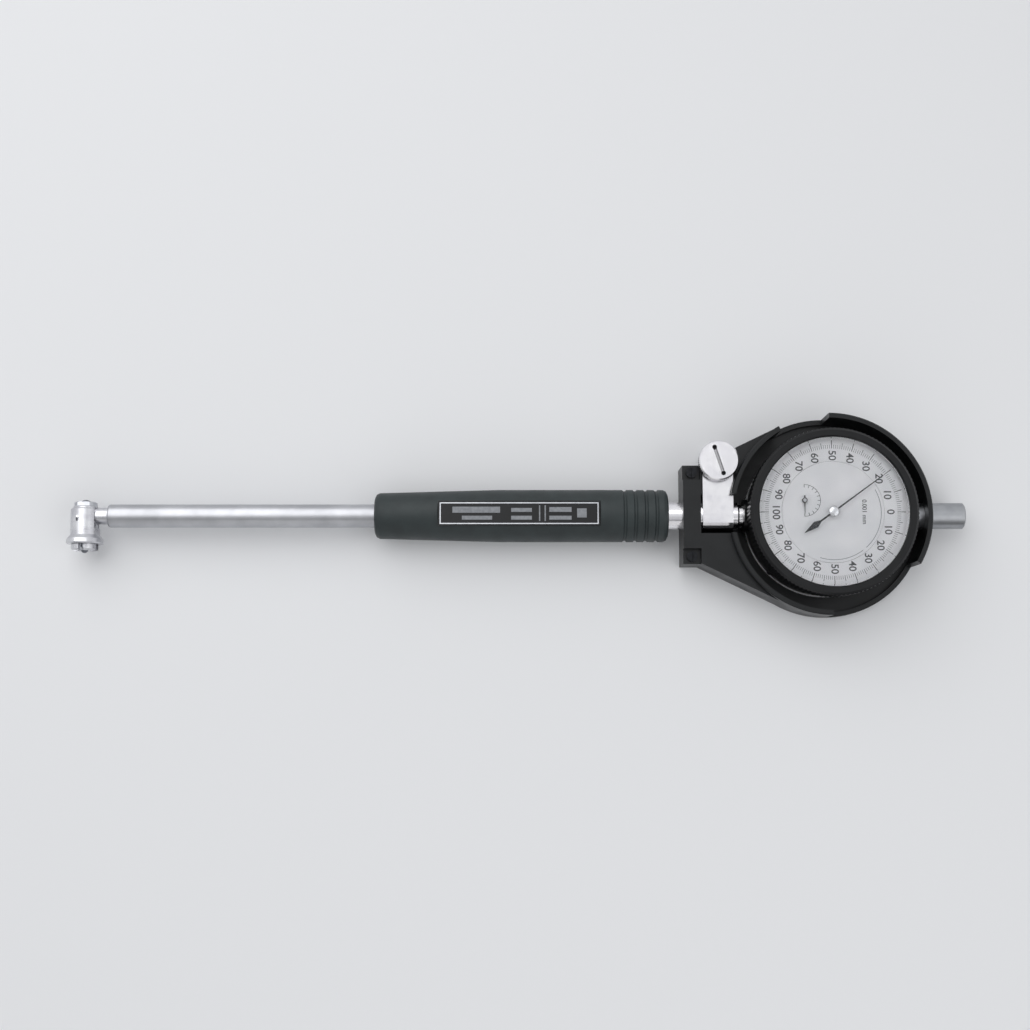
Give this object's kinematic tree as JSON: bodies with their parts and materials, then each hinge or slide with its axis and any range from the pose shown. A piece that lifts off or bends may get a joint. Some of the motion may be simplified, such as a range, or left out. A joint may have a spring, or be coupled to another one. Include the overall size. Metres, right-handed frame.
{
  "type": "dial bore gauge",
  "caption": "Lever bore gauge with a guided measuring head, long tube, moulded grip and a dial indicator held by a thumb screw clamp inside a moulded guard.",
  "frame": {"origin": "on the table, under the middle of the gauge's overall length and width, with the gauge lying on its back and the dial facing up", "axes": "+X along the tube from the measuring head to the dial, +Y towards the anvil and the clamp screw, +Z out of the dial face"},
  "size_m": [0.3088, 0.0692, 0.0241],
  "materials": {
    "bright_steel": "bright ground steel",
    "satin_steel": "satin ground steel",
    "plated_steel": "bright plating",
    "carbide": "ground carbide",
    "spring_steel": "plain",
    "grip_plastic": "fine moulded grain",
    "nameplate": "black with a bare metal border",
    "black_paint": "satin black",
    "cap_metal": "satin",
    "brass": "plain",
    "white_face": "matt white",
    "black_trim": "plain",
    "glass": "clear polished",
    "guard_plastic": "semi-gloss moulded",
    "black_screw": "blackened steel"
  },
  "bodies": {
    "gauge": {"measuring_head": "bright_steel", "bell_crank_pin": "spring_steel", "guide_stop_pin": "spring_steel", "anvil": "satin_steel", "guide_spring": "spring_steel", "long_tube": "satin_steel", "rod_bush_front": "brass", "rod_bush_rear": "brass", "rod_spring": "spring_steel", "grip": "grip_plastic", "nameplate": "nameplate", "holder_tube": "plated_steel", "clamp_ring": "plated_steel", "dial_case": "black_paint", "back_cover": "black_paint", "back_screws": "black_screw", "stem": "plated_steel", "spindle_guide": "brass", "upper_bush": "brass", "top_cap": "cap_metal", "spindle_spring": "spring_steel", "lower_plate": "brass", "upper_plate": "brass", "movement_posts": "brass", "movement_screws": "spring_steel", "rack_cock": "brass", "hairspring": "spring_steel", "hairspring_stud": "brass", "dial_disc": "white_face", "guard": "guard_plastic", "guard_bar": "guard_plastic", "guard_screws": "black_screw"},
    "guide": {"guide": "bright_steel"},
    "contact": {"contact_point": "satin_steel"},
    "crank": {"bell_crank": "spring_steel"},
    "push_rod": {"push_rod": "satin_steel"},
    "spindle": {"spindle": "satin_steel", "dial_contact": "satin_steel", "spindle_pin": "spring_steel"},
    "rack_arbor": {"rack_pinion": "satin_steel", "first_wheel": "brass"},
    "counter_arbor": {"counter_pinion": "satin_steel", "second_wheel": "brass", "counter_pointer": "black_trim"},
    "centre_arbor": {"centre_pinion": "satin_steel", "long_pointer": "black_trim"},
    "hairspring_arbor": {"hairspring_wheel": "brass"},
    "bezel": {"bezel": "black_paint", "scale_ring": "white_face", "spacer_ring": "black_trim", "crystal": "glass"},
    "clamp_screw": {"clamp_screw": "plated_steel"}
  },
  "joints": [
    {"name": "rod_slide", "type": "slide", "parent": "gauge", "child": "push_rod", "axis": [1, 0, 0], "range_m": [0, 0.0012], "stiffness_N_per_m": 500, "springref_m": -0.004, "deforming": ["rod_spring"]},
    {"name": "contact_slide", "type": "slide", "parent": "gauge", "child": "contact", "axis": [0, 1, 0], "range_m": [0, 0.0012]},
    {"name": "crank_turn", "type": "hinge", "parent": "gauge", "child": "crank", "pos_m": [-0.1457, -0.0024, 0.009], "axis": [0, 0, -1], "range_deg": [0, 28.96]},
    {"name": "spindle_slide", "type": "slide", "parent": "gauge", "child": "spindle", "axis": [1, 0, 0], "range_m": [0, 0.0012], "deforming": ["spindle_spring"]},
    {"name": "rack_arbor_turn", "type": "hinge", "parent": "gauge", "child": "rack_arbor", "pos_m": [0.09377, -0.00254, 0.009], "axis": [0, 0, -1], "range_deg": [0, 57.6]},
    {"name": "counter_turn", "type": "hinge", "parent": "gauge", "child": "counter_arbor", "pos_m": [0.0978, 0.0039, 0.009], "axis": [0, 0, -1], "range_deg": [-216, 0]},
    {"name": "pointer_turn", "type": "hinge", "parent": "gauge", "child": "centre_arbor", "pos_m": [0.1074, 0, 0.009], "axis": [0, 0, -1], "range_deg": [0, 2160]},
    {"name": "hairspring_turn", "type": "hinge", "parent": "gauge", "child": "hairspring_arbor", "pos_m": [0.117, -0.0039, 0.009], "axis": [0, 0, -1], "range_deg": [-216, 0]},
    {"name": "guide_slide", "type": "slide", "parent": "gauge", "child": "guide", "axis": [0, 1, 0], "range_m": [0, 0.0012], "stiffness_N_per_m": 300, "springref_m": -0.002, "deforming": ["guide_spring"]},
    {"name": "bezel_turn", "type": "hinge", "parent": "gauge", "child": "bezel", "pos_m": [0.1074, 0, 0.019], "axis": [0, 0, 1], "continuous": true},
    {"name": "clamp_screw_turn", "type": "hinge", "parent": "gauge", "child": "clamp_screw", "pos_m": [0.0694, 0.018, 0.009], "axis": [0, 0, 1], "range_deg": [0, 360]}
  ],
  "couplings": [
    {"joint": "contact_slide", "follows": "rod_slide", "ratio": 1},
    {"joint": "crank_turn", "follows": "rod_slide", "rad_per_m": 421.13},
    {"joint": "spindle_slide", "follows": "rod_slide", "ratio": 1},
    {"joint": "rack_arbor_turn", "follows": "rod_slide", "rad_per_m": 837.76},
    {"joint": "counter_turn", "follows": "rod_slide", "rad_per_m": -3141.6},
    {"joint": "pointer_turn", "follows": "rod_slide", "rad_per_m": 31416},
    {"joint": "hairspring_turn", "follows": "rod_slide", "rad_per_m": -3141.6}
  ]
}
